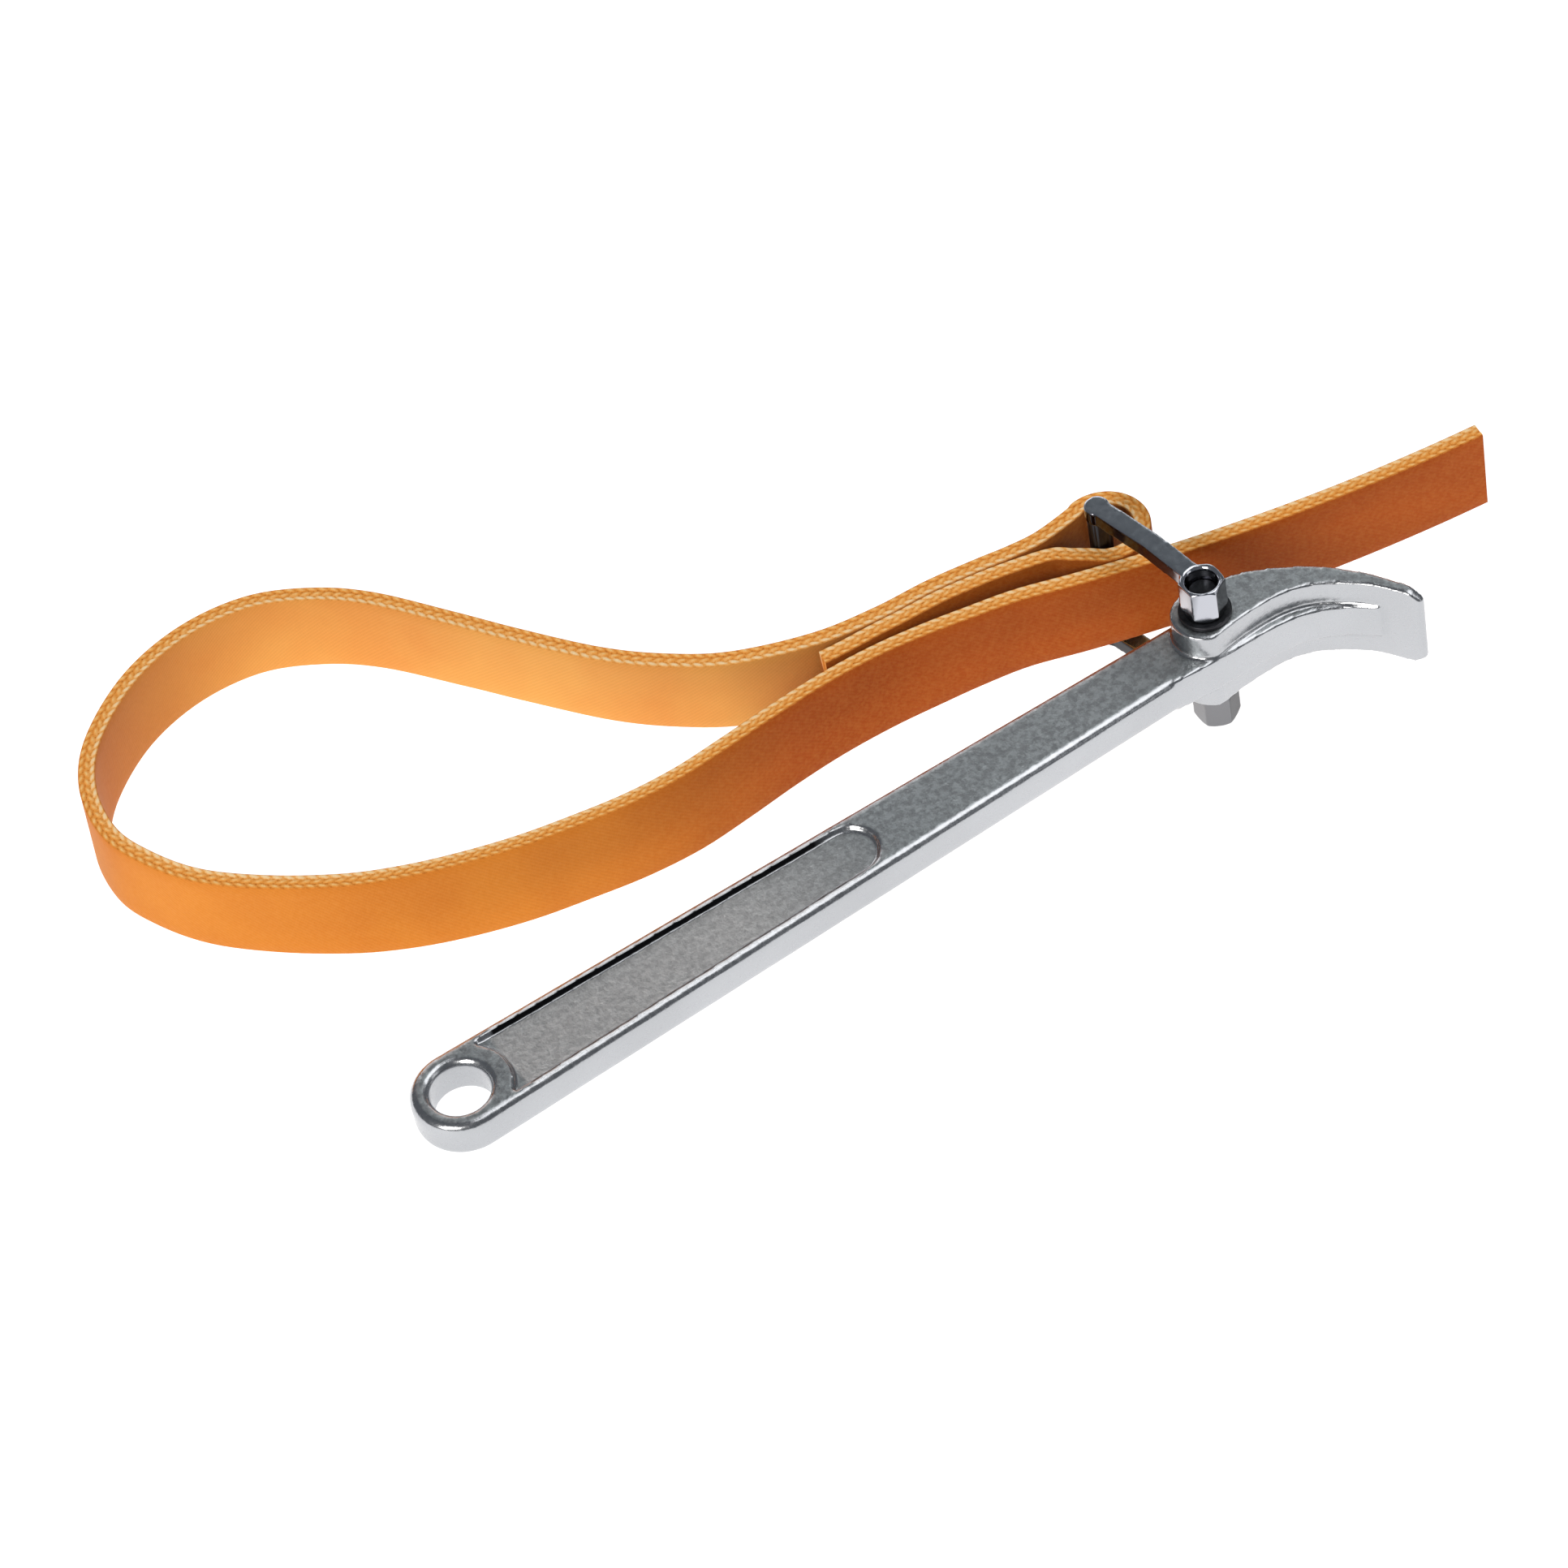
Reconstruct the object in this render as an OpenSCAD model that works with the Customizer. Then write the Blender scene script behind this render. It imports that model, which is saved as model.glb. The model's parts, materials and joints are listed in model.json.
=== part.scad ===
// Strap-type oil filter wrench, lying on its side as it rests on a bench.
// Millimetres. The origin is the middle of the hang hole, +X runs along the
// handle to its head, +Y to the side of the strap loop, +Z up off the bench.
// The handle leans back a few degrees, resting on its butt and on the shackle.

/* [Handle] */
// Hang hole to pivot axis
pivot_x = 224; // [150:1:300]
// Thickness of the bar
bar_thick = 11; // [8:0.5:16]
// Radius of the rounded butt
butt_r = 12.6; // [10:0.1:18]
// Half width of the bar where it meets the head
neck_half = 8.8; // [6:0.1:12]
// Rounding of the bar's edges
edge_r = 2.2; // [0.5:0.1:3]
// Diameter of the hang hole
hang_d = 15.2; // [8:0.1:18]
// Chamfer round the hang hole
hang_chamfer = 1.2; // [0:0.1:2]
// Depth of the sunk panel in each wide face
panel_depth = 1.3; // [0.4:0.1:2.5]
// Where the panel ends towards the head
panel_end_x = 122; // [60:1:180]

/* [Head] */
// Height of the head, along the pivot axis
head_height = 26; // [18:0.5:40]
// Radius of the boss round the pivot pin
boss_r = 9; // [7:0.1:14]
// Diameter of the pivot pin
pivot_d = 8; // [5:0.5:10]
// Radial running clearance of the pin in the boss
pivot_play = 0.06; // [0.02:0.01:0.1]

/* [Shackle] */
// Height of the shackle's outer faces from the middle plane
reach = 25.5; // [18:0.5:35]
// Width across the flats of the hexagonal hubs
hub_flats = 10.6; // [9:0.1:16]
// Width of the arms
arm_width = 5.4; // [4:0.1:8]
// Thickness of the arms
arm_thick = 4.6; // [3:0.1:8]
// Diameter of the anchor pin in the strap's eye
anchor_d = 6; // [4:0.5:8]
// Thickness of the washers under the hubs
washer_thick = 1.4; // [0.5:0.1:2]
// Outside diameter of the washers
washer_d = 13.6; // [12:0.1:18]

/* [Strap] */
// Width of the belt
strap_width = 26; // [18:0.5:40]
// Thickness of the belt
strap_thick = 4.4; // [2:0.1:6]
// Inner radius of the eye at the anchor pin
eye_inner = 7.6; // [5:0.1:10]
// Chamfer along the belt's long edges
strap_edge = 0.5; // [0.1:0.1:1.2]
// Steps between two guide points of the belt's curve
curve_steps = 5; // [2:1:8]

/* [Hidden] */

half_bar = bar_thick / 2;
half_head = head_height / 2;
hub_base = half_head + washer_thick + 0.1;
hub_r = hub_flats / 2 / cos(30);
pin_recess = 4;
// Half the gap between one stretch of the belt and the next.
strap_gap = 0.12;

// Anchor pin and knee of the arms, from the pivot axis.
knee = [-1.9, 19];
anchor = [-5.4, 37.4];

// The handle lies on the lower edge of its butt and on the lower arm's end.
butt_touch = 10.6;
lean = atan((reach - half_bar) / (pivot_x + anchor[0] - 3.4 + butt_touch));
bench_z = -half_bar * cos(lean) - butt_touch * sin(lean);

steel_colour = [0.72, 0.73, 0.76];
dark_colour = [0.16, 0.16, 0.17];
belt_colour = [0.80, 0.46, 0.20];

// ---- curves -------------------------------------------------------------

// Point on a smooth curve through b and c, with a and d as neighbours.
function curve_point(a, b, c, d, t) =
    0.5 * (2 * b + (c - a) * t + (2 * a - 5 * b + 4 * c - d) * t * t
           + (3 * b - a - 3 * c + d) * t * t * t);

// Smooth open curve through a list of guide points.
function curve(p, steps) = [
    for (i = [0 : len(p) - 2])
        for (k = [0 : steps - 1])
            curve_point(p[max(i - 1, 0)], p[i], p[i + 1],
                        p[min(i + 2, len(p) - 1)], k / steps),
    p[len(p) - 1]
];

// Points of an arc from angle a0 to a1.
function arc(c, r, a0, a1, n) = [
    for (i = [0 : n])
        let (a = a0 + (a1 - a0) * i / n)
        [c[0] + r * cos(a), c[1] + r * sin(a)]
];

function unit(v) = v / norm(v);
function left_of(v) = [-v[1], v[0]];
function shifted(p, by) = [for (q = p) q + by];

// Direction of a curve at its point i.
function along(p, i) =
    unit([for (k = [0 : 1]) p[min(i + 1, len(p) - 1)][k] - p[max(i - 1, 0)][k]]);

// Smooth step from 0 to 1 between a and b.
function smooth(x, a, b) =
    let (u = min(max((x - a) / (b - a), 0), 1))
    u * u * (3 - 2 * u);

// ---- solids from curves -------------------------------------------------

// Belt swept along stations [x, y, lean inwards] of a path, from its station
// first_i to last_i, its lower edge on rise(x). Both ends stop short by a hair.
module belt(path, first_i, last_i) {
    n = last_i - first_i + 1;
    w = strap_width;
    c = strap_edge;
    s = strap_thick / 2;
    section = [[-s + c, 0], [s - c, 0], [s, c], [s, w - c],
               [s - c, w], [-s + c, w], [-s, w - c], [-s, c]];
    k = len(section);
    points = [
        for (i = [0 : n - 1])
            let (
                m = first_i + i,
                d = along(path, m),
                trim = i == 0 ? strap_gap : i == n - 1 ? -strap_gap : 0,
                p = path[m] + [d[0] * trim, d[1] * trim, 0],
                side = left_of(d),
                up = unit([-sin(belt_lean(p[0])) + tan(p[2]) * side[0],
                           tan(p[2]) * side[1],
                           cos(belt_lean(p[0]))]),
                out = unit(cross(up, [d[0], d[1], 0]))
            )
            for (q = section)
                [p[0], p[1], rise(p[0]) + s * abs(sin(p[2]))]
                + out * q[0] + up * q[1]
    ];
    sides = [
        for (i = [0 : n - 2])
            for (j = [0 : k - 1])
                for (f = [0 : 1])
                    let (a = i * k + j, b = i * k + (j + 1) % k)
                    f == 0 ? [a, a + k, b + k] : [a, b + k, b]
    ];
    near_end = [for (j = [0 : k - 1]) j];
    far_end = [for (j = [k - 1 : -1 : 0]) (n - 1) * k + j];
    polyhedron(points, concat([near_end, far_end], sides), convexity = 8);
}

// ---- handle -------------------------------------------------------------

pivot = [pivot_x, 0];

// Horn outline round the head, from the pivot axis: the concave front, the
// tip, and the convex back that bears on the strap.
horn_front = [[-3, -8.4], [4, -7.4], [12, -7.0], [18.4, -7.5], [23, -8.8],
              [27, -10.8], [31, -13.8], [35.6, -18.1], [38.6, -22.0],
              [41, -26]];
horn_tip = [[42.9, -29.4], [43.7, -30.4], [44.9, -30.6], [45.7, -29.8]];
horn_back = [[45.4, -28.2], [41.9, -20.9], [38.4, -15.0], [34.4, -9.7],
             [30, -4.9], [24, -0.2], [18, 3.6], [12.6, 6.1]];
head_outline = shifted(concat(
    curve(concat(horn_front, horn_tip, horn_back), 4),
    arc([0, 0], boss_r, 56, 246, 30)
), pivot);

// Middle layer of the horn, as thick as the bar and proud of the front.
core_front = [[-16, -8.3], [-9, -8.9], [-3, -9.3], [3, -9.4], [10, -9.5],
              [16, -10.0], [20.5, -10.8], [25, -12.4], [30, -15.2],
              [34, -18.4], [37.6, -22.0]];
core_inside = [[38.6, -20.6], [33, -12], [25, -5], [14, 1], [4, 5], [-16, 5]];
core_outline = shifted(concat(curve(core_front, 4), core_inside), pivot);

// The bar's sides close in towards the head, tangent to the round butt.
neck_x = pivot_x - 26;
taper = asin((butt_r - neck_half) / neck_x);

// Half width of the bar at x.
function bar_half(x) = butt_r / cos(taper) - x * tan(taper);

// Sunk panel: round against the hang-hole boss and round at its other end.
panel_margin = 2.7;
panel_boss_r = butt_r + 0.8;
panel_r = bar_half(panel_end_x) - panel_margin;
panel_side_x = 14;
panel_outline = concat(
    arc([0, 0], panel_boss_r, 46, -46, 16),
    [[panel_side_x, -bar_half(panel_side_x) + panel_margin]],
    arc([panel_end_x - panel_r, 0], panel_r, -90, 90, 20),
    [[panel_side_x, bar_half(panel_side_x) - panel_margin]]
);

// Bar seen from above: round butt, straight sides, end inside the boss.
bar_end = pivot_x - 3;
bar_outline = concat(
    arc([0, 0], butt_r, 90 - taper, 270 + taper, 32),
    [[bar_end, -bar_half(bar_end)], [bar_end, bar_half(bar_end)]]
);

// Inward direction at point i of a closed outline that runs anticlockwise.
function inward(p, i) =
    let (
        n = len(p),
        a = left_of(unit(p[i] - p[(i + n - 1) % n])),
        b = left_of(unit(p[(i + 1) % n] - p[i]))
    )
    (a + b) / (1 + a * b);

// Slab of half height h with its edges rounded to radius r.
module rounded_slab(outline, h, r, steps = 3) {
    n = len(outline);
    turns = [for (k = [0 : steps]) 90 * k / steps];
    rings = concat(
        [for (a = turns) [r - r * sin(a), -h + r - r * cos(a)]],
        [for (k = [steps : -1 : 0]) [r - r * sin(turns[k]), h - r + r * cos(turns[k])]]
    );
    m = len(rings);
    points = [
        for (g = rings)
            for (i = [0 : n - 1])
                let (q = outline[i] + inward(outline, i) * g[0])
                [q[0], q[1], g[1]]
    ];
    sides = [
        for (j = [0 : m - 2])
            for (i = [0 : n - 1])
                for (f = [0 : 1])
                    let (a = j * n + i, b = j * n + (i + 1) % n)
                    f == 0 ? [a, a + n, b + n] : [a, b + n, b]
    ];
    bottom = [for (i = [0 : n - 1]) i];
    top = [for (i = [n - 1 : -1 : 0]) (m - 1) * n + i];
    polyhedron(points, concat([bottom, top], sides), convexity = 6);
}

module hang_hole() {
    r = hang_d / 2;
    rim = r + hang_chamfer + 1;
    top = half_bar + 1;
    waist = half_bar - hang_chamfer;
    rotate_extrude($fn = 96)
        polygon([[0, -top], [rim, -top], [r, -waist], [r, waist], [rim, top],
                 [0, top]]);
}

// Slanted cut across the horn's tip, at its upper and lower corners.
tip_turn = -60;
tip_end = 48.9;
tip_cut_back = 3.6;
tip_cut_down = 2.3;

module tip_cuts() {
    slope = tip_cut_down / tip_cut_back;
    back = tip_end - tip_cut_back;
    translate([pivot_x, 0, 0])
        rotate([0, 0, tip_turn])
            for (s = [0, 1])
                mirror([0, 0, s])
                    rotate([90, 0, 0])
                        linear_extrude(height = 80, center = true)
                            polygon([[back - 1, half_head + slope],
                                     [back + 9, half_head - 9 * slope],
                                     [back + 9, half_head + 2],
                                     [back - 1, half_head + 2]]);
}

module handle() {
    color(steel_colour)
    tilted()
    difference() {
        union() {
            rounded_slab(bar_outline, half_bar, edge_r);
            translate([0, 0, -half_bar])
                linear_extrude(height = bar_thick)
                    polygon(core_outline);
            translate([0, 0, -half_head])
                linear_extrude(height = head_height)
                    polygon(head_outline);
        }
        hang_hole();
        tip_cuts();
        translate([pivot_x, 0, -half_head - 1])
            cylinder(h = head_height + 2, d = pivot_d + 2 * pivot_play, $fn = 96);
        for (s = [0, 1])
            mirror([0, 0, s])
                translate([0, 0, half_bar - panel_depth])
                    linear_extrude(height = panel_depth + 1)
                        polygon(panel_outline);
    }
}

// ---- shackle ------------------------------------------------------------

// Outline of an arm: two straight pieces that meet in a mitre at the knee.
arm_in = left_of(unit(knee)) * arm_width / 2;
arm_out = left_of(unit(anchor - knee)) * arm_width / 2;
arm_bend = unit(arm_in + arm_out)
           * (arm_width / 2) / (unit(arm_in + arm_out) * unit(arm_in));
arm_outline = [arm_in, -arm_in, knee - arm_bend, anchor - arm_out,
               anchor + arm_out, knee + arm_bend];

// Hexagonal hub with its corners turned off, more so at its inner end.
module hub() {
    crown = 1.0;
    base_crown = 1.8;
    height = reach - hub_base;
    translate([0, 0, hub_base])
        intersection() {
            rotate([0, 0, 30])
                cylinder(h = height, r = hub_r, $fn = 6);
            rotate_extrude($fn = 96)
                polygon([[0, 0], [hub_flats / 2 - 0.3, 0], [hub_r + 0.2, base_crown],
                         [hub_r + 0.2, height - crown],
                         [hub_flats / 2 - 0.1, height], [0, height]]);
        }
}

module link() {
    difference() {
        union() {
            hub();
            translate([0, 0, reach - arm_thick])
                linear_extrude(height = arm_thick)
                    polygon(arm_outline);
            translate([anchor[0], anchor[1], reach - arm_thick])
                cylinder(h = arm_thick, d = arm_width + 1.2, $fn = 64);
        }
        translate([0, 0, hub_base - 1])
            cylinder(h = reach, d = pivot_d, $fn = 96);
        rotate_extrude($fn = 96)
            polygon([[0, reach - 1.1], [pivot_d / 2 - 0.3, reach - 1.1],
                     [pivot_d / 2 + 0.8, reach], [pivot_d / 2 + 0.8, reach + 1],
                     [0, reach + 1]]);
        translate([anchor[0], anchor[1], reach - arm_thick - 1])
            cylinder(h = arm_thick, d = anchor_d - 1, $fn = 64);
    }
}

module at_pivot() {
    tilted()
        translate([pivot_x, 0, 0])
            children();
}

module upper_link() {
    color(steel_colour)
    at_pivot()
        link();
}

module lower_link() {
    color(steel_colour)
    at_pivot()
        mirror([0, 0, 1])
            link();
}

module pivot_pin() {
    h = reach - pin_recess;
    c = 0.6;
    r = pivot_d / 2;
    color(dark_colour)
    at_pivot()
        rotate_extrude($fn = 96)
            polygon([[0, -h], [r - c, -h], [r, -h + c], [r, h - c],
                     [r - c, h], [0, h]]);
}

// Anchor pin: a thick shank with a spigot at each end, seated in the arms.
module anchor_pin() {
    h = reach - arm_thick;
    r = anchor_d / 2;
    color(steel_colour)
    at_pivot()
        translate([anchor[0], anchor[1], 0])
            rotate_extrude($fn = 64)
                polygon([[0, -h - arm_thick + 1], [r - 0.5, -h - arm_thick + 1],
                         [r - 0.5, -h], [r, -h], [r, h], [r - 0.5, h],
                         [r - 0.5, h + arm_thick - 1], [0, h + arm_thick - 1]]);
}

module washer() {
    translate([0, 0, half_head + 0.05])
        difference() {
            cylinder(h = washer_thick, d = washer_d, $fn = 96);
            translate([0, 0, -1])
                cylinder(h = washer_thick + 2, d = pivot_d + 0.12, $fn = 96);
        }
}

module upper_washer() {
    color(dark_colour)
    at_pivot()
        washer();
}

module lower_washer() {
    color(dark_colour)
    at_pivot()
        mirror([0, 0, 1])
            washer();
}

// ---- strap --------------------------------------------------------------

// The belt stands with the pins at the head and on the bench farther away.
function belt_lean(x) = lean * smooth(x, 14, 114);

// Height of the belt's lower edge: the handle's plane, or the bench.
function rise(x) =
    let (
        k = 6,
        line = x * tan(lean) - strap_width / 2 / cos(lean) - bench_z
    )
    bench_z + (line > k ? line : line < -k ? 0 : (line + k) * (line + k) / 4 / k);

// Guide points of the belt's middle line, from the hang hole:
// [x, y, lean of the belt towards the inside of the loop].
eye_centre = [221.9, 40.4];
eye_mid = eye_inner + strap_thick / 2;
back_guides = [[207.2, 48.1, 0], [198.5, 49.0, 0], [189.8, 50.8, 0.3],
               [176.4, 53.0, 0.5], [161.2, 54.3, 0.8], [144.5, 58.1, 2.2],
               [125, 66.8, 3], [111.7, 77.1, 3.3], [99.8, 89.7, 3.3],
               [86.5, 108.4, 3.3], [76.1, 123.8, 2.9], [62.4, 142.9, 2.4],
               [49.8, 154.3, 2.3]];
bend_guides = [[34.6, 161.7, 2.2], [16, 162.3, 1.4], [-3, 156, 0.7],
               [-20.2, 143.1, -0.2], [-29.3, 129.2, -1.3], [-31.9, 113.1, -3],
               [-28.4, 100.4, -4], [-20.8, 87.2, -4.4], [-8.5, 74.7, -2.9]];
front_guides = [[5.6, 63.8, -0.7], [18.3, 56.4, 1.6], [31.7, 50.7, 3.4],
                [47.2, 45.9, 4.5], [62.9, 42.7, 5], [77.9, 40.1, 6],
                [93, 39.1, 6.8], [108, 40.2, 6.4], [123, 41.7, 5.5],
                [138, 42.3, 5.3], [153, 41.6, 5], [166.9, 40, 3.6],
                [178.9, 38.4, 1.2]];

// The last stretch is a gentle arc through the throat, beside the pivot.
function feed_y(x) =
    35.8 - 0.385 * (x - 191.6) + (x - 191.6) * (x - 191.6) / 945;
feed_guides = [for (x = [191.6, 206, 220, 236, 252, 268, 284, 300, 313.6])
               [x, feed_y(x), 0]];

eye_guides = [for (a = [216 : 20 : 476])
              [eye_centre[0] + eye_mid * cos(a), eye_centre[1] + eye_mid * sin(a), 0]];

n_eye = len(eye_guides) * curve_steps;
n_back = len(back_guides) * curve_steps;
n_bend = len(bend_guides) * curve_steps;
n_front = len(front_guides) * curve_steps;
line = curve(concat(eye_guides, back_guides, bend_guides, front_guides,
                    feed_guides), curve_steps);

// Stations where the belt is divided between one stretch and the next.
cut_lap = n_eye + 5 * curve_steps;
cut_back = n_eye + n_back - curve_steps;
cut_bend = n_eye + n_back + n_bend;
cut_front = n_eye + n_back + n_bend + n_front;

// Folded end: the same belt doubled back beside itself, 0.15 mm away, its
// loose tip curling off by fold_peel over its last fold_free stations.
fold = strap_thick + 0.15;
fold_peel = 2.2;
fold_free = 6;
first_fold = n_eye + 2 * curve_steps;
folded = [
    for (i = [cut_lap : -1 : first_fold])
        let (
            free = max(i - cut_lap + fold_free, 0) / fold_free,
            q = left_of(along(line, i)) * (fold + fold_peel * free * free)
        )
        [line[i][0] + q[0], line[i][1] + q[1], -line[i][2]]
];
nf = len(folded);
link_guides = [folded[nf - 2], folded[nf - 1], [205, 41.9, 0],
               [210, 38.1, 0], line[0], line[1]];
join_curve = curve(link_guides, curve_steps);
eye_path = concat(
    folded,
    [for (i = [curve_steps + 1 : len(join_curve) - curve_steps - 2]) join_curve[i]],
    [for (i = [0 : cut_lap + 1]) line[i]]
);

module strap_eye() {
    color(belt_colour)
    belt(eye_path, 0, len(eye_path) - 2);
}

module strap_back_run() {
    color(belt_colour)
    belt(line, cut_lap, cut_back);
}

module strap_bend() {
    color(belt_colour)
    belt(line, cut_back, cut_bend);
}

module strap_front_run() {
    color(belt_colour)
    belt(line, cut_bend, cut_front);
}

module strap_feed() {
    color(belt_colour)
    belt(line, cut_front, len(line) - 1);
}

// Handle frame to bench frame.
module tilted() {
    rotate([0, -lean, 0])
        children();
}

handle();
upper_link();
lower_link();
pivot_pin();
anchor_pin();
upper_washer();
lower_washer();
strap_eye();
strap_back_run();
strap_bend();
strap_front_run();
strap_feed();
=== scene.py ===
import json
import math

import bpy
import numpy as np
from mathutils import Matrix, Vector


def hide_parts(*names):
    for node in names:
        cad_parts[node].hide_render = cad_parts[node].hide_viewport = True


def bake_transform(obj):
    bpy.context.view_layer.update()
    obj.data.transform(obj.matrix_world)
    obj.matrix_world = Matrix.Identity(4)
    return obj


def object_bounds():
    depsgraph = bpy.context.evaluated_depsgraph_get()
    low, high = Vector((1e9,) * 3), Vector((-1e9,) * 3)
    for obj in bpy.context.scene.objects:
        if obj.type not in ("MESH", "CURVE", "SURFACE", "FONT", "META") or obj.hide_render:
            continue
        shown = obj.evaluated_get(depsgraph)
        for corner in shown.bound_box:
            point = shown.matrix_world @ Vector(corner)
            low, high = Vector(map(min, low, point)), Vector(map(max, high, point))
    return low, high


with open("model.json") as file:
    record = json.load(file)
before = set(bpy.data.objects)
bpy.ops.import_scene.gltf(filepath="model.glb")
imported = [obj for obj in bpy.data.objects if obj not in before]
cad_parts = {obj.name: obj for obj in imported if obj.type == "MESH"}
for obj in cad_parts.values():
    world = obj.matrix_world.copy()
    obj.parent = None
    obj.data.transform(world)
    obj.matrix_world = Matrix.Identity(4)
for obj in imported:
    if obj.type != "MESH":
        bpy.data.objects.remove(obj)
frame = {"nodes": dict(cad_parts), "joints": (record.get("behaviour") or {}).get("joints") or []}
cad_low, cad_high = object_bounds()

# Strap-type oil filter wrench, lying on a bench. Lengths are in millimetres, in the
# CAD's frame: X runs along the handle from its hang hole and Z is up. They turn into
# metres where a mesh, a node or a lamp needs them.
MM = 0.001
HINGE = next(j for j in frame["joints"] if j["name"] == "shackle_pivot")
LEAN = math.atan2(-HINGE["axis"][0], HINGE["axis"][2])  # the handle's rise towards its head
BENCH_Z = cad_low[2] / MM  # what the tool lies on


# ---- small helpers ---------------------------------------------------------

def smooth(x, a, b):
    """Smooth step from 0 to 1 between a and b."""
    u = np.clip((x - a) / (b - a), 0.0, 1.0)
    return u * u * (3 - 2 * u)


def curve(points, steps):
    """Smooth open curve through a list of guide points."""
    p = np.array(points, float)
    p = np.vstack([p[:1], p, p[-1:]])
    out = []
    t = np.arange(steps)[:, None] / steps
    for i in range(len(p) - 3):
        a, b, c, d = p[i:i + 4]
        out.append(0.5 * (2 * b + (c - a) * t + (2 * a - 5 * b + 4 * c - d) * t * t
                          + (3 * b - a - 3 * c + d) * t ** 3))
    out.append(p[-1:])
    return np.vstack(out)


def unit(v):
    return v / np.linalg.norm(v, axis=-1, keepdims=True)


def left_of(v):
    return np.stack([-v[:, 1], v[:, 0]], 1)


def heading(p):
    """Directions of a curve at its points, in plan."""
    d = np.empty((len(p), 2))
    d[1:-1] = p[2:, :2] - p[:-2, :2]
    d[0] = p[1, :2] - p[0, :2]
    d[-1] = p[-1, :2] - p[-2, :2]
    return unit(d)


def length_along(p):
    return np.concatenate([[0], np.cumsum(np.linalg.norm(np.diff(p[:, :2], axis=0), axis=1))])


def evenly(p, pitch):
    """The same curve with its points a given distance apart."""
    s = length_along(p)
    n = max(2, int(round(s[-1] / pitch)) + 1)
    at = np.linspace(0, s[-1], n)
    return np.stack([np.interp(at, s, p[:, k]) for k in range(p.shape[1])], 1)


# ---- the belt's course -----------------------------------------------------

WIDTH = 26.0
THICK = 4.4
STEPS = 24  # points of the course from one guide point to the next
EYE_CENTRE = np.array([221.9, 40.4])
EYE_BORE = 7.6  # radius inside the eye
EYE_MID = EYE_BORE + THICK / 2
EYE_TURN = range(216, 477, 20)  # degrees
FOLD = THICK + 0.12  # from the middle of one ply to the next
LAP_GUIDES = 5  # how many guide points of the back run the folded end lies beside
TIP_GUIDES = 1.2  # how many of them its loose tip takes
TIP_PEEL = 2.2  # how far the tip has come away

# Guide points: x, y, and how many degrees the belt leans inwards.
eye_guides = [
    [EYE_CENTRE[0] + EYE_MID * math.cos(a), EYE_CENTRE[1] + EYE_MID * math.sin(a), 0]
    for a in map(math.radians, EYE_TURN)
]
back_guides = [[207.2, 48.1, 0], [198.5, 49.0, 0], [189.8, 50.8, 0.3],
               [176.4, 53.0, 0.5], [161.2, 54.3, 0.8], [144.5, 58.1, 2.2],
               [125, 66.8, 3], [111.7, 77.1, 3.3], [99.8, 89.7, 3.3],
               [86.5, 108.4, 3.3], [76.1, 123.8, 2.9], [62.4, 142.9, 2.4],
               [49.8, 154.3, 2.3]]
bend_guides = [[34.6, 161.7, 2.2], [16, 162.3, 1.4], [-3, 156, 0.7],
               [-20.2, 143.1, -0.2], [-29.3, 129.2, -1.3], [-31.9, 113.1, -3],
               [-28.4, 100.4, -4], [-20.8, 87.2, -4.4], [-8.5, 74.7, -2.9]]
front_guides = [[5.6, 63.8, -0.7], [18.3, 56.4, 1.6], [31.7, 50.7, 3.4],
                [47.2, 45.9, 4.5], [62.9, 42.7, 5], [77.9, 40.1, 6],
                [93, 39.1, 6.8], [108, 40.2, 6.4], [123, 41.7, 5.5],
                [138, 42.3, 5.3], [153, 41.6, 5], [166.9, 40, 3.6],
                [178.9, 38.4, 1.2]]


def feed_y(x):
    """The last stretch: a gentle arc through the throat, beside the pivot."""
    return 35.8 - 0.385 * (x - 191.6) + (x - 191.6) ** 2 / 945


feed_guides = [
    [x, feed_y(x), 0] for x in (191.6, 206, 220, 236, 252, 268, 284, 300, 313.6)
]

line = curve(eye_guides + back_guides + bend_guides + front_guides + feed_guides, STEPS)
n_eye = len(eye_guides) * STEPS
n_lap = n_eye + LAP_GUIDES * STEPS
n_split = n_eye + (len(back_guides) + len(bend_guides)) * STEPS

# The folded end lies beside the first stretch of the back run, then joins the eye.
# Its loose tip curls off a little.
free = np.clip((np.arange(len(line)) - n_lap) / (TIP_GUIDES * STEPS) + 1, 0, 1)
aside = left_of(heading(line)) * (FOLD + TIP_PEEL * free ** 2)[:, None]
folded = np.column_stack([line[:, :2] + aside, -line[:, 2]])[n_lap:n_eye + 2 * STEPS - 1:-1]
join_guides = [folded[-STEPS], folded[-1], [205, 41.9, 0], [210, 38.1, 0], line[0], line[STEPS]]
join = curve(join_guides, STEPS)[STEPS + 1:-STEPS - 1]
course = np.vstack([folded, join, line])


def belt_lean(x):
    """The belt stands upright in the loop and takes up the handle's lean by the head."""
    return LEAN * smooth(x, 14, 114)


def rise(x):
    """Height of the belt's lower edge: in line with the handle, eased onto the bench."""
    ease = 6
    above = x * math.tan(LEAN) - WIDTH / 2 / math.cos(LEAN) - BENCH_Z
    eased = (above + ease) ** 2 / 4 / ease
    return BENCH_Z + np.where(above > ease, above, np.where(above < -ease, 0, eased))


# ---- the belt's mesh -------------------------------------------------------

PITCH = 0.5  # between stations along the belt
CORNER = 0.45  # rounding of its four long edges
YARN = 2.9  # repeat of the edge's yarn crowns along the belt
CROWN = 0.34  # depth of the gaps between the edge's yarns
YARN_ROWS = 3  # rows of yarn across the edge
UV_MM = 0.01  # the belt's texture space is in units of 100 mm


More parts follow.
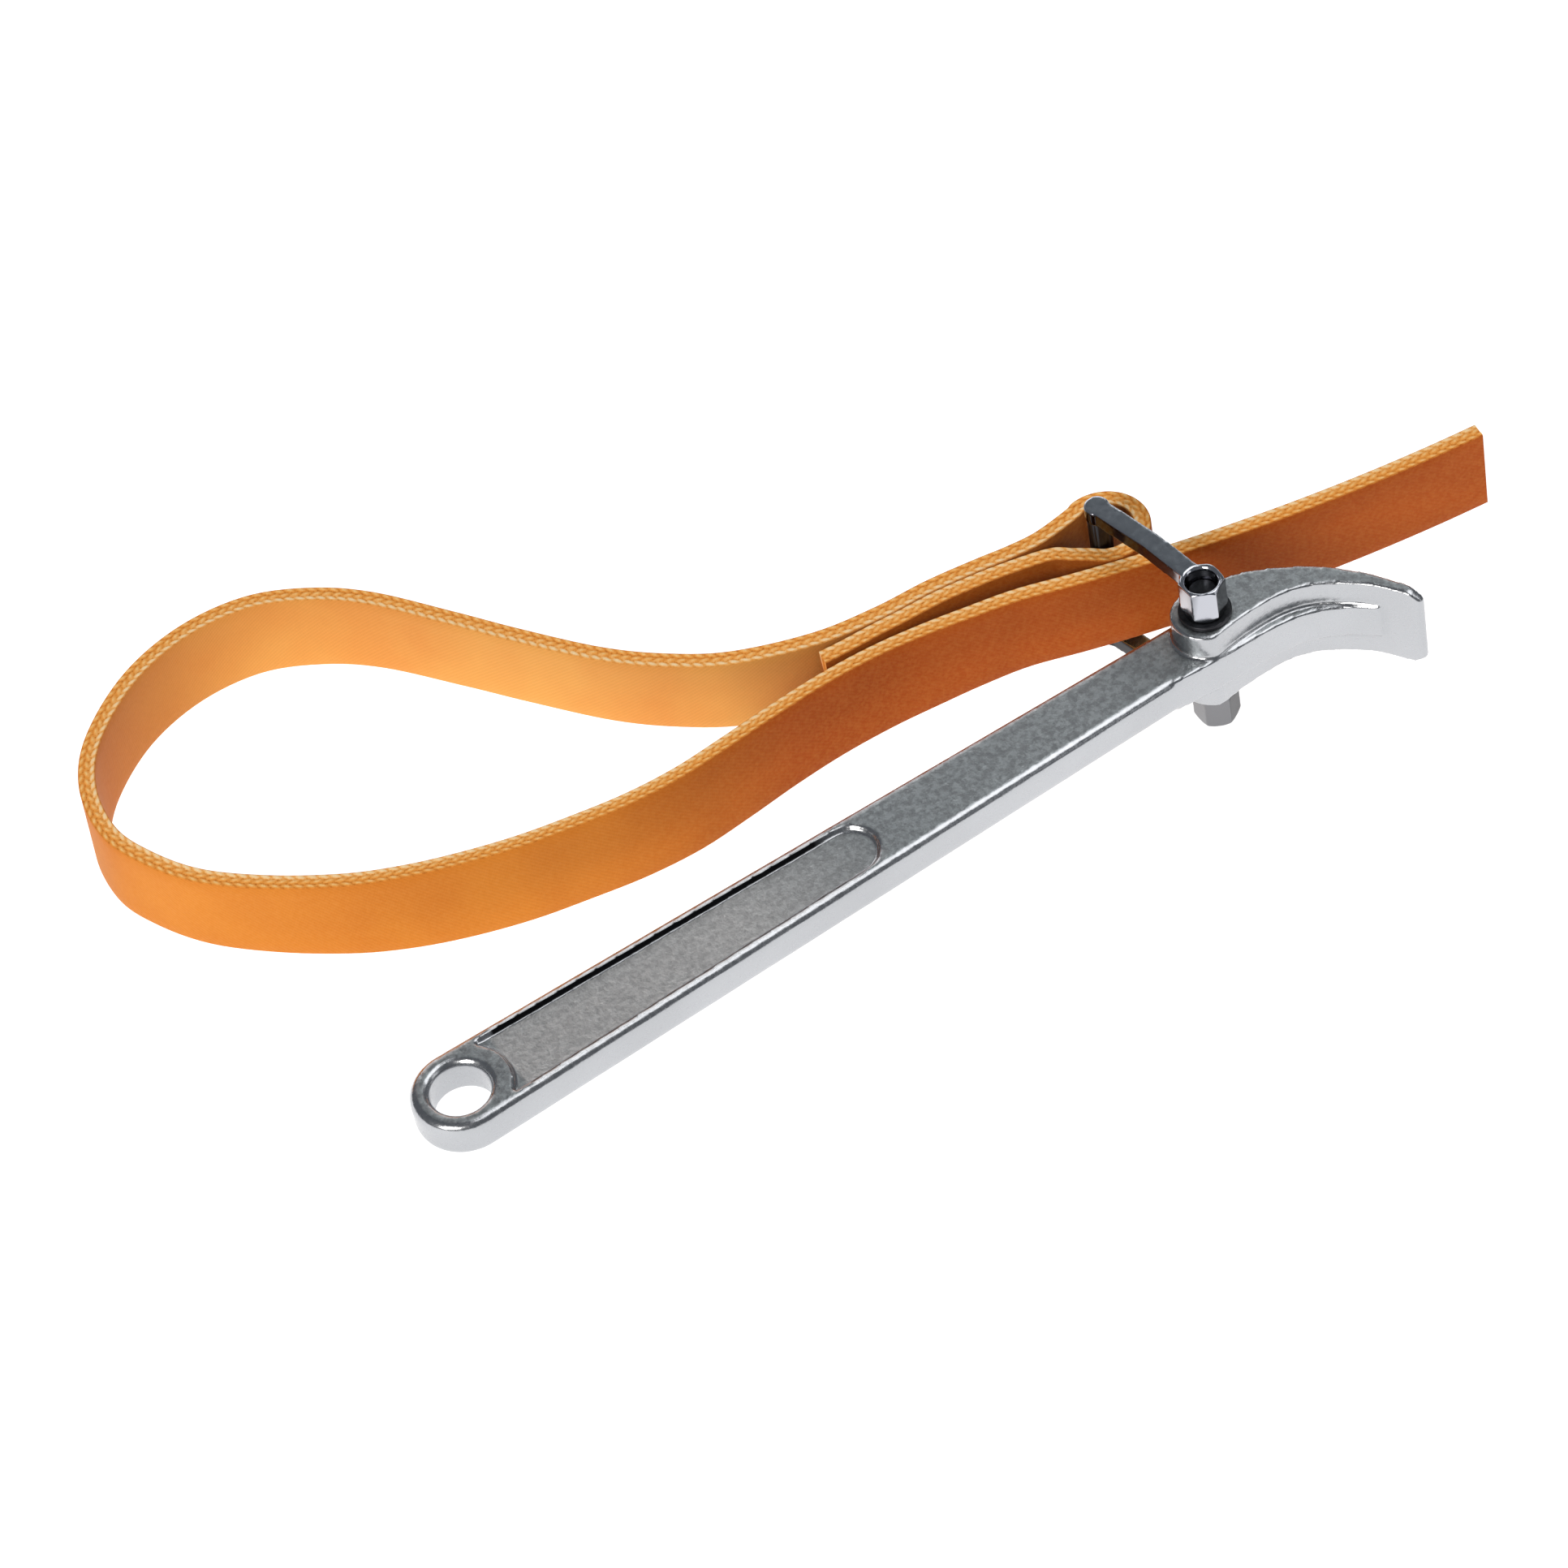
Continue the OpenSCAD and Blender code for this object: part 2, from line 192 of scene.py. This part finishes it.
def edge_height(u, v):
    """Height of the raw edge, 0 in a gap to 1 on a yarn's crown.
    u runs along the belt, v from -1 to 1 across its thickness."""
    rows_in = (v + 1) / 2 * YARN_ROWS
    row = np.floor(rows_in).clip(0, YARN_ROWS - 1)
    inside = rows_in - row
    slant = np.where(row == 1, -1.0, 1.0)
    phase = u / YARN + slant * (inside - 0.5) * 0.55 + row * 0.5
    along = 0.5 + 0.5 * np.cos(2 * np.pi * phase)
    across = np.sin(np.pi * inside.clip(0, 1)) ** 0.7
    return across * (0.25 + 0.75 * along ** 0.8)


def section():
    """Outline of the belt: (thickness, width, edge share) per point, anticlockwise."""
    s, c = THICK / 2, CORNER
    points = []
    across = np.linspace(-s + c, s - c, 13)
    turns = np.radians([22.5, 45, 67.5])
    up_side = np.linspace(c, WIDTH - c, 9)
    points += [(q, 0.0, 1.0) for q in across]
    points += [(s - c + c * math.sin(a), c - c * math.cos(a), 0.5) for a in turns]
    points += [(s, q, 0.0) for q in up_side]
    points += [(s - c + c * math.cos(a), WIDTH - c + c * math.sin(a), 0.5) for a in turns]
    points += [(q, WIDTH, 1.0) for q in across[::-1]]
    points += [(-s + c - c * math.sin(a), WIDTH - c + c * math.cos(a), 0.5) for a in turns]
    points += [(-s, q, 0.0) for q in up_side[::-1]]
    points += [(-s + c - c * math.cos(a), c - c * math.sin(a), 0.5) for a in turns]
    return np.array(points)


def stations(path):
    """Foot, across and up directions, and length along, of stations on a path."""
    p = evenly(path, PITCH)
    d = heading(p)
    side = left_of(d)
    lean_in = np.tan(np.radians(p[:, 2]))
    tilt = belt_lean(p[:, 0])
    up = unit(np.column_stack([
        -np.sin(tilt) + lean_in * side[:, 0], lean_in * side[:, 1], np.cos(tilt)
    ]))
    out = unit(np.cross(up, np.column_stack([d, np.zeros(len(p))])))
    lift = THICK / 2 * np.abs(np.sin(np.radians(p[:, 2])))
    foot = np.column_stack([p[:, :2], rise(p[:, 0]) + lift])
    return foot, out, up, length_along(p)


def with_ends(a):
    """Adds a station just inside each end, so that the end stays crisp."""
    return np.concatenate([
        a[:1], 0.96 * a[:1] + 0.04 * a[1:2], a[1:-1], 0.04 * a[-2:-1] + 0.96 * a[-1:], a[-1:]
    ])


def belt_mesh(name, *rows):
    """Sweeps the belt's section along stations; returns the object."""
    foot, out, up, u = (with_ends(a) for a in rows)
    n = len(foot)
    sec = section()
    k = len(sec)
    uu = np.repeat(u[:, None], k, 1)
    vv = np.repeat(sec[None, :, 0], n, 0) / (THICK / 2)
    height = edge_height(uu, vv)
    edge = sec[None, :, 2]
    top = np.where(sec[:, 1] > WIDTH / 2, 1.0, -1.0)[None, :]
    sink = (1 - height) * CROWN * np.where(edge > 0.7, 1.0, edge * 0.6)
    w = sec[None, :, 1] - top * sink
    verts = (foot[:, None, :] + out[:, None, :] * sec[None, :, 0, None]
             + up[:, None, :] * w[:, :, None])
    j = np.arange(k)
    ring = np.stack([j, (j + 1) % k, k + (j + 1) % k, k + j], 1)
    quads = (ring[None] + k * np.arange(n - 1)[:, None, None]).reshape(-1, 4)
    caps = [tuple(range(k - 1, -1, -1)), tuple((n - 1) * k + i for i in range(k))]
    mesh = bpy.data.meshes.new(name)
    mesh.from_pydata((verts.reshape(-1, 3) * MM).tolist(), [], quads.tolist() + caps)
    mesh.update()
    ob = bpy.data.objects.new(name, mesh)
    bpy.context.scene.collection.objects.link(ob)
    for key, value in (
        ("weave", height),
        ("raw_edge", np.repeat(edge, n, 0)),
        ("inner_face", np.repeat(sec[None, :, 0] > 0, n, 0)),
        ("toward_inside", vv),
    ):
        mesh.attributes.new(key, "FLOAT", "POINT").data.foreach_set(
            "value", value.astype(np.float32).ravel())
    uv = mesh.uv_layers.new(name="belt")
    loops = np.empty(len(mesh.loops), np.int32)
    mesh.loops.foreach_get("vertex_index", loops)
    across = np.repeat(sec[None, :, 1], n, 0)
    coords = np.stack([uu.ravel(), across.ravel()], 1)[loops] * UV_MM
    uv.data.foreach_set("uv", coords.astype(np.float32).ravel())
    smooth_faces = np.ones(len(mesh.polygons), bool)
    smooth_faces[-len(caps):] = False
    mesh.polygons.foreach_set("use_smooth", smooth_faces)
    return ob


# ---- materials -------------------------------------------------------------

class Nodes:
    """A short way to write a material's node tree."""

    def __init__(self, name):
        self.material = bpy.data.materials.new(name)
        self.material.use_nodes = True
        self.tree = self.material.node_tree
        self.tree.nodes.clear()
        self.out = self.tree.nodes.new("ShaderNodeOutputMaterial")
        self.bsdf = self.tree.nodes.new("ShaderNodeBsdfPrincipled")
        self.tree.links.new(self.bsdf.outputs[0], self.out.inputs[0])

    def node(self, kind, **settings):
        n = self.tree.nodes.new(kind)
        for key, value in settings.items():
            setattr(n, key, value)
        return n

    def put(self, socket, value):
        if isinstance(value, bpy.types.NodeSocket):
            self.tree.links.new(value, socket)
        else:
            socket.default_value = value

    def math(self, operation, a, b=0.0):
        n = self.node("ShaderNodeMath", operation=operation)
        self.put(n.inputs[0], a)
        self.put(n.inputs[1], b)
        return n.outputs[0]

    def times(self, first, *others):
        for other in others:
            first = self.math("MULTIPLY", first, other)
        return first

    def mix(self, factor, a, b, blend="MIX"):
        """Colour a where factor is 0, b where it is 1. Either may be (red, green, blue)."""
        n = self.node("ShaderNodeMix", data_type="RGBA", blend_type=blend)
        self.put(n.inputs[0], factor)
        for socket, colour in ((n.inputs[6], a), (n.inputs[7], b)):
            self.put(socket, (*colour, 1) if isinstance(colour, tuple) else colour)
        return n.outputs[2]

    def noise(self, vector, scale, detail=3.0, rough=0.5):
        n = self.node("ShaderNodeTexNoise")
        self.put(n.inputs["Vector"], vector)
        n.inputs["Scale"].default_value = scale
        n.inputs["Detail"].default_value = detail
        n.inputs["Roughness"].default_value = rough
        return n.outputs[0]

    def ramp(self, factor, *stops):
        n = self.node("ShaderNodeValToRGB")
        self.put(n.inputs[0], factor)
        band = n.color_ramp.elements
        while len(band) < len(stops):
            band.new(0.5)
        for e, (at, colour) in zip(band, stops):
            e.position = at
            e.color = (*colour, 1)
        return n.outputs[0]

    def range(self, value, a, b, c=0, d=1):
        """Takes a value from a to b over to c to d, and holds it there outside."""
        n = self.node("ShaderNodeMapRange")
        self.put(n.inputs[0], value)
        for k, x in enumerate((a, b, c, d)):
            n.inputs[k + 1].default_value = x
        return n.outputs[0]

    def rises(self, value, a, b):
        """From 0 to 1 between two lengths in millimetres."""
        return self.range(value, a * MM, b * MM)

    def falls(self, value, a, b):
        """From 1 to 0 between two lengths in millimetres."""
        return self.range(value, a * MM, b * MM, 1, 0)

    def bump(self, height, strength, distance):
        n = self.node("ShaderNodeBump")
        self.put(n.inputs["Height"], height)
        n.inputs["Strength"].default_value = strength
        n.inputs["Distance"].default_value = distance
        return n.outputs[0]

    def split(self, vector):
        """The x, y and z of a vector."""
        n = self.node("ShaderNodeSeparateXYZ")
        self.put(n.inputs[0], vector)
        return n.outputs[0], n.outputs[1], n.outputs[2]

    def texture(self, kind):
        """Object, or Normal in the object's own frame."""
        return self.node("ShaderNodeTexCoord").outputs[kind]

    def attribute(self, name):
        return self.node("ShaderNodeAttribute", attribute_name=name).outputs["Fac"]

    def set(self, **values):
        for key, value in values.items():
            self.put(self.bsdf.inputs[key.replace("_", " ")], value)


# Belt colours, each as (light, dark) of its cloudy tone.
LEATHER_OUTSIDE = ((0.72, 0.245, 0.026), (0.64, 0.195, 0.019))
LEATHER_INSIDE = ((0.83, 0.425, 0.100), (0.76, 0.32, 0.068))
# The next three colours are painted shade: darker belt where it lies in shade.
LEATHER_PAINTED_SHADE = ((0.44, 0.078, 0.004), (0.35, 0.058, 0.002))
BEND_PAINTED_SHADE = (0.60, 0.19, 0.03)
EYE_PAINTED_SHADE = (0.30, 0.058, 0.006)
# Where the tones change, along the belt from its folded end, in texture units.
EYE_ENDS = (1.7, 2.2)
BEND_STARTS = (3.3, 4.1)
PAINTED_SHADE_STARTS = (5.5, 6.3)


def belt_leather(m, along, inner, cloud):
    """Colour of the belt's two faces, before its fine pattern."""
    def cloudy(tones):
        return m.mix(m.range(cloud, 0.35, 0.65), *tones)

    # Painted shade: from the bend on, the inner face is made darker.
    inside = m.mix(m.range(along, *BEND_STARTS), cloudy(LEATHER_INSIDE), BEND_PAINTED_SHADE)
    faces = m.mix(inner, cloudy(LEATHER_OUTSIDE), inside)
    # Painted shade: the stretch that is drawn through the head is made darker.
    faces = m.mix(m.range(along, *PAINTED_SHADE_STARTS), faces, cloudy(LEATHER_PAINTED_SHADE))
    # Painted shade, too, on the folded end, round the anchor pin.
    return m.mix(m.range(along, *EYE_ENDS, 0.85, 0), faces, EYE_PAINTED_SHADE)


def belt_yarn(m, here):
    """Colour of the raw edge: a paler rope binds its inner side, over orange warp."""
    fuzz = m.noise(here, 1600, 2, 0.7)
    level = m.math("ADD", m.attribute("weave"), m.range(fuzz, 0.3, 0.7, -0.15, 0.15))
    # The ramps darken the yarn into the gaps between its crowns, which is painted shade; the paler rope
    # and orange core are the yarns' own colours.
    rope = m.ramp(level, (0.0, (0.55, 0.16, 0.02)), (0.25, (0.90, 0.40, 0.09)),
                  (0.50, (1.0, 0.60, 0.25)), (0.95, (1.0, 0.74, 0.42)))
    core = m.ramp(level, (0.0, (0.42, 0.10, 0.012)), (0.30, (0.84, 0.31, 0.05)),
                  (0.70, (0.95, 0.45, 0.11)), (1.0, (1.0, 0.62, 0.24)))
    return m.mix(m.range(m.attribute("toward_inside"), 0.15, 0.40, 0.05, 1), core, rope)


def belt_material():
    m = Nodes("belt_leather")
    along, across, _ = m.split(m.node("ShaderNodeUVMap", uv_map="belt").outputs[0])
    here = m.texture("Object")
    grain = m.noise(here, 900, 2, 0.6)
    # Fine diagonal twill, pressed into both faces, and a fainter one across it.
    twill = m.math("SINE", m.math("ADD", m.times(along, 420), m.times(across, 520)))
    counter = m.math("SINE", m.math("SUBTRACT", m.times(along, 900), m.times(across, 300)))
    face = belt_leather(m, along, m.attribute("inner_face"), m.noise(here, 22, 3))
    face = m.mix(m.range(twill, -1, 1, 0, 0.10), face, (0.34, 0.09, 0.012))
    face = m.mix(m.range(grain, 0.35, 0.7, 0, 0.10), face, (0.90, 0.42, 0.10))
    raw = m.attribute("raw_edge")
    relief = m.math("ADD", m.times(twill, 0.35), m.times(counter, 0.12))
    relief = m.math("ADD", relief, m.times(grain, 0.9))
    m.set(
        Base_Color=m.mix(m.range(raw, 0.25, 0.75), face, belt_yarn(m, here)),
        Roughness=m.range(raw, 0.2, 0.8, 0.55, 0.85),
        Normal=m.bump(relief, 0.35, 0.00010),
    )
    m.bsdf.inputs["Specular IOR Level"].default_value = 0.10
    return m.material


# Near black, for painted shade on the walls of the sunk panel.
PAINTED_SHADE_BLACK = (0.02, 0.02, 0.022)
PANEL_MARGIN = 2.7  # between the bar's edge and its sunk panel
PANEL_START = 14  # where the panel's straight sides begin
PANEL_ROUND = 114  # and where they turn into its round end
PANEL_END = 122


def paint_shade_on_sides(m, base, here, normal, spots):
    """Painted shade: darkens the sides away from the spots (x, y, radius), and those facing the horn.
    """
    level = m.node("ShaderNodeVectorMath", operation="MULTIPLY")
    m.put(level.inputs[0], here)
    level.inputs[1].default_value = (1, 1, 0)
    away = 1.0
    for x, y, radius in spots:
        distance = m.node("ShaderNodeVectorMath", operation="DISTANCE")
        m.put(distance.inputs[0], level.outputs[0])
        distance.inputs[1].default_value = (x * MM, y * MM, 0)
        away = m.math("MULTIPLY", m.rises(distance.outputs["Value"], radius, radius + 2), away)
    away = m.math("MAXIMUM", away, m.range(normal[0], 0.15, 0.45, 0, 0.95))
    side = m.range(m.math("ABSOLUTE", normal[2]), 0.35, 0.8, 1, 0)
    return m.mix(m.times(away, side), base, (0.035, 0.035, 0.04))


def finish_panel(m, base, here, normal, flat, dirt):
    """The sunk panel of a bar: a painted highlight on its rim, painted shade on its wall, and a pale
    floor. Returns the colour, and how metallic it is."""
    x, y, _ = m.split(here)
    # Distance in from the bar's edge, which narrows towards the head.
    edge = m.math("ADD", m.times(x, -0.0192), 12.6 * MM)
    depth = m.math("SUBTRACT", edge, m.math("ABSOLUTE", y))
    beside = m.times(m.falls(x, PANEL_ROUND - 6, PANEL_ROUND), m.rises(x, PANEL_START, PANEL_START + 1))
    # Painted highlight: the rim is made near white and less metallic.
    painted_rim_highlight = m.times(m.falls(depth, PANEL_MARGIN - 0.6, PANEL_MARGIN - 0.2), beside, flat)
    base = m.mix(painted_rim_highlight, base, (0.92, 0.93, 0.95))
    # The floor is pale towards the butt.
    floor_area = m.times(
        m.range(depth, (PANEL_MARGIN - 0.3) * MM, PANEL_MARGIN * MM, 0, 0.85), flat,
        m.range(x, 80 * MM, (PANEL_END - 2) * MM, 1, 0.1),
        m.falls(x, PANEL_END - 2, PANEL_END - 1), m.rises(x, PANEL_START - 1, PANEL_START),
    )
    speckled = m.mix(m.range(dirt, 0.42, 0.58, 0, 0.5), (0.80, 0.78, 0.76), (0.50, 0.49, 0.48))
    base = m.mix(floor_area, base, speckled)
    # Painted shade: the panel's steep inner walls are made near black.
    steep = m.range(m.math("ABSOLUTE", normal[2]), 0.86, 0.97, 1, 0)
    wall = m.times(m.rises(depth, PANEL_MARGIN - 0.55, PANEL_MARGIN - 0.3), steep, beside)
    return m.mix(wall, base, PAINTED_SHADE_BLACK), m.range(painted_rim_highlight, 0, 1, 1, 0.25)


def steel_material(name, colour, roughness, grain_size, grain_depth,
                   mottle=0.60, painted_corner_shade=0.0, spots_without_painted_shade=(), sunk_panel=False):
    """Plated steel: smooth on the sides, matte and mottled on the wide faces, with
    painted shade in its corners. The roughness is (sides, wide faces)."""
    m = Nodes(name)
    here = m.texture("Object")
    normal = m.split(m.texture("Normal"))
    flat = m.range(m.math("ABSOLUTE", normal[2]), 0.955, 0.99)
    peel = m.noise(here, grain_size, 2, 0.55)
    dirt = m.noise(here, grain_size * 0.6, 4, 0.7)
    cloud = m.range(m.noise(here, 30, 3), 0.3, 0.7)
    plate = m.mix(cloud, colour, tuple(c * 0.90 for c in colour))
    greenish = m.mix(1.0, plate, (0.98, 1.03, 1.01), "MULTIPLY")
    stain = tuple(c * 0.46 for c in colour)
    dull = m.mix(m.range(dirt, 0.42, 0.58, 0, mottle), greenish, stain)
    base = m.mix(flat, plate, dull)
    metal = 1.0
    # Painted shade on the sides, except near the given spots.
    if spots_without_painted_shade:
        base = paint_shade_on_sides(m, base, here, normal, spots_without_painted_shade)
    if sunk_panel:
        base, metal = finish_panel(m, base, here, normal, flat, dirt)
    if painted_corner_shade:
        # Painted shade: corners and recesses found by ambient occlusion are darkened.
        corner = m.node("ShaderNodeAmbientOcclusion", samples=6, only_local=True)
        corner.inputs["Distance"].default_value = 0.0022
        base = m.mix(m.range(corner.outputs["AO"], 0.35, 0.9, painted_corner_shade, 0), base, (0.02, 0.02, 0.02))
    relief = m.times(peel, m.range(flat, 0, 1, 0.25, 1.0))
    m.set(
        Base_Color=base,
        Roughness=m.math("ADD", m.range(flat, 0, 1, *roughness),
                         m.range(peel, 0.3, 0.7, -0.04, 0.05)),
        Metallic=metal,
        Normal=m.bump(relief, 1.0, grain_depth),
    )
    return m.material


def floor_material():
    m = Nodes("floor_white")
    m.set(Base_Color=(0.4, 0.4, 0.4, 1), Roughness=0.7)
    m.bsdf.inputs["Emission Color"].default_value = (1, 1, 1, 1)
    m.bsdf.inputs["Emission Strength"].default_value = 0.97
    return m.material


# ---- the belt pieces -------------------------------------------------------

belt_look = belt_material()
strip = stations(course)
split_at = length_along(course)[len(folded) + len(join) + n_split]
divide = np.searchsorted(strip[-1], split_at)  # the station that both pieces share
loop = belt_mesh("belt_eye_and_loop", *(a[:divide + 1] for a in strip))
tail = belt_mesh("belt_front_and_tail", *(a[divide:] for a in strip))
for ob in (loop, tail):
    ob.data.materials.append(belt_look)
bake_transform(loop)
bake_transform(tail)
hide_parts("strap_eye", "strap_back_run", "strap_bend")
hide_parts("strap_front_run", "strap_feed")


# ---- metal parts -----------------------------------------------------------

HUB = [v / MM for v in HINGE["pos_m"][:2]]
ANCHOR = (217.75, 37.4)
cast = steel_material("handle_steel", (0.50, 0.51, 0.53), (0.24, 0.42), 900, 0.00014,
                      painted_corner_shade=0.9, sunk_panel=True)
bright = steel_material("shackle_steel", (0.54, 0.55, 0.60), (0.13, 0.20), 700, 0.00003,
                        mottle=0.15, spots_without_painted_shade=((*HUB, 7), (*ANCHOR, 2.6)))
# Painted shade: the lower link gets a darker copy of the shackle's steel, as it lies in shade under the
# head.
shaded = steel_material("under_steel_painted_shade", (0.22, 0.22, 0.23), (0.16, 0.25), 700, 0.00003,
                        mottle=0.15, spots_without_painted_shade=((*HUB, 8),))
# The pins and washers sit in shade between parts; their near-black steel is partly painted shade.
dark = steel_material("dark_steel", (0.05, 0.05, 0.055), (0.38, 0.45), 900, 0.00005)


def dress(node, material, cell=0.0, passes=0):
    """Gives a CAD node its finish. With a cell size in millimetres, modifiers over the
    CAD mesh also round its edges, as casting and plating do."""
    ob = frame["nodes"][node]
    ob.data.materials.clear()
    ob.data.materials.append(material)
    ob.modifiers.new("weld", "WELD").merge_threshold = 1e-5
    if cell:
        skin = ob.modifiers.new("skin", "REMESH")
        skin.mode = "VOXEL"
        skin.voxel_size = cell * MM
        skin.use_smooth_shade = True
        worn = ob.modifiers.new("worn_edges", "SMOOTH")
        worn.factor = 0.5
        worn.iterations = passes


dress("handle", cast, cell=0.5, passes=8)
dress("upper_link", bright, cell=0.25, passes=16)
dress("lower_link", shaded, cell=0.25, passes=16)
for pin in ("pivot_pin", "anchor_pin"):
    dress(pin, dark)
for washer in ("upper_washer", "lower_washer"):
    dress(washer, dark, cell=0.2, passes=2)


# ---- stage, light and camera, in metres ------------------------------------

BELOW = 0.0001  # keeps the floor just clear of the tool
bpy.ops.mesh.primitive_plane_add(size=8, location=(0.12, 0.05, cad_low[2] - BELOW))
floor = bpy.context.object
floor.name = "floor"
floor.data.materials.append(floor_material())

world = bpy.data.worlds.new("studio")
bpy.context.scene.world = world
world.use_nodes = True
sky = world.node_tree.nodes["Background"]
sky.inputs[0].default_value = (0.86, 0.92, 1.0, 1)
sky.inputs[1].default_value = 0.16
MIDDLE = (0.12, 0.06, 0.0)


def softbox(name, place, size, power, colour=(1, 1, 1)):
    """A rectangular lamp aimed at the middle of the tool, in metres and watts."""
    data = bpy.data.lights.new(name, "AREA")
    data.shape = "RECTANGLE"
    data.size, data.size_y = size
    data.energy = power
    data.color = colour
    ob = bpy.data.objects.new(name, data)
    bpy.context.scene.collection.objects.link(ob)
    ob.location = place
    ob.rotation_euler = (Vector(MIDDLE) - Vector(place)).to_track_quat("-Z", "Y").to_euler()


softbox("key", (-1.5, -0.75, 1.1), (0.9, 0.9), 26, (1.0, 0.97, 0.93))
softbox("top", (0.85, -0.3, 1.9), (1.3, 1.7), 14)
softbox("back", (0.95, 2.1, 0.9), (2.2, 1.4), 13)
softbox("fill", (1.3, -1.5, 0.9), (0.8, 0.8), 2)

# The camera looks down along this heading, rolled a little.
HEADING = math.radians(29.42)
ELEVATION = math.radians(47.27)
ROLL = math.radians(5.30)
CAMERA_AT = (-0.3927, -0.8682, 1.1295)
level_reach = math.cos(ELEVATION)
ahead = Vector((
    math.sin(HEADING) * level_reach, math.cos(HEADING) * level_reach, -math.sin(ELEVATION)
))
right = Vector((math.cos(HEADING), -math.sin(HEADING), 0))
upward = right.cross(ahead)
rolled_right = right * math.cos(ROLL) - upward * math.sin(ROLL)
rolled_up = right * math.sin(ROLL) + upward * math.cos(ROLL)
lens = bpy.data.cameras.new("camera")
lens.sensor_width = 36
lens.lens = 139.75
lens.clip_end = 50
camera = bpy.data.objects.new("camera", lens)
bpy.context.scene.collection.objects.link(camera)
spin = Matrix((rolled_right, rolled_up, -ahead)).transposed()
camera.matrix_world = Matrix.Translation(CAMERA_AT) @ spin.to_4x4()
bpy.context.scene.camera = camera
bpy.context.scene.view_settings.view_transform = "Standard"
